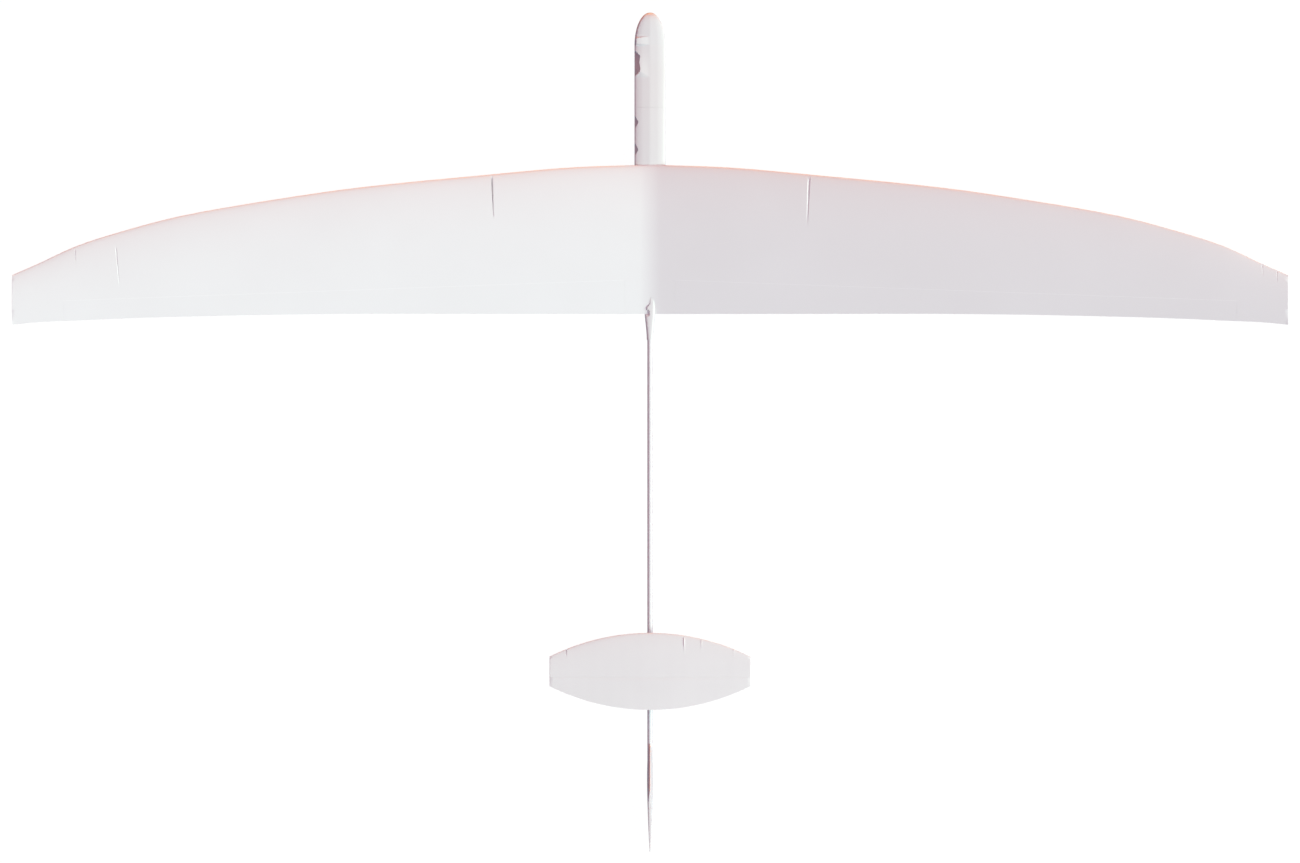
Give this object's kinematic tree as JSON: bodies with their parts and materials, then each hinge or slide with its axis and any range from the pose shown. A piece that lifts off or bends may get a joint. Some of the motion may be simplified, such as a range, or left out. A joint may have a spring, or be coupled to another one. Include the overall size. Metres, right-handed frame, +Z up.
{
  "type": "radio-controlled hand-launch glider",
  "caption": "Plain white hand-launch model glider with a slim pod, thin boom, swept and tapered wing in a shallow V, pylon tailplane and a fin at the boom's end.",
  "frame": {"origin": "on the floor, under the middle of the glider's bounding box", "axes": "+X along the span to the glider's left, -Y to the nose, +Z up"},
  "size_m": [1.5, 0.988, 0.152],
  "materials": {
    "white_gelcoat": "satin",
    "white_film": "satin",
    "white_painted_carbon": "satin",
    "black_carbon_plate": "satin",
    "steel_wire": "satin",
    "battery_wrap": "satin",
    "dark_plastic": "matte",
    "servo_plastic": "matte"
  },
  "bodies": {
    "airframe": {"pod": "white_gelcoat", "radio_tray": "black_carbon_plate", "battery_pack": "battery_wrap", "receiver": "dark_plastic", "left_servo": "servo_plastic", "right_servo": "servo_plastic", "left_wing_panel": "white_gelcoat", "right_wing_panel": "white_gelcoat", "left_pushrod": "steel_wire", "right_pushrod": "steel_wire", "tail_boom": "white_painted_carbon", "stab_mount": "white_film", "stabilizer": "white_film", "fin": "white_film"},
    "nose_cap": {"nose_cone": "white_gelcoat"},
    "left_flap": {"left_flaperon": "white_gelcoat", "left_flaperon_horn": "black_carbon_plate"},
    "right_flap": {"right_flaperon": "white_gelcoat", "right_flaperon_horn": "black_carbon_plate"},
    "elevator_flap": {"elevator": "white_film", "elevator_horn": "black_carbon_plate"},
    "rudder_flap": {"rudder": "white_film"}
  },
  "joints": [
    {"name": "nose_cone_slide", "type": "slide", "parent": "airframe", "child": "nose_cap", "axis": [0, -1, 0], "range_m": [0, 0.12]},
    {"name": "left_flaperon_hinge", "type": "hinge", "parent": "airframe", "child": "left_flap", "pos_m": [0.03, -0.1784, 0.05374], "axis": [0.9933, 0.0372, 0.1091], "range_deg": [-40, 20]},
    {"name": "right_flaperon_hinge", "type": "hinge", "parent": "airframe", "child": "right_flap", "pos_m": [-0.03, -0.1784, 0.05374], "axis": [0.9933, -0.0372, -0.1091], "range_deg": [-40, 20]},
    {"name": "elevator_hinge", "type": "hinge", "parent": "airframe", "child": "elevator_flap", "pos_m": [0, 0.2896, 0.064], "axis": [1, 0, 0], "range_deg": [-20, 20]},
    {"name": "rudder_hinge", "type": "hinge", "parent": "airframe", "child": "rudder_flap", "pos_m": [0, 0.4439, 0.0025], "axis": [0, 0, 1], "range_deg": [-30, 30]}
  ]
}
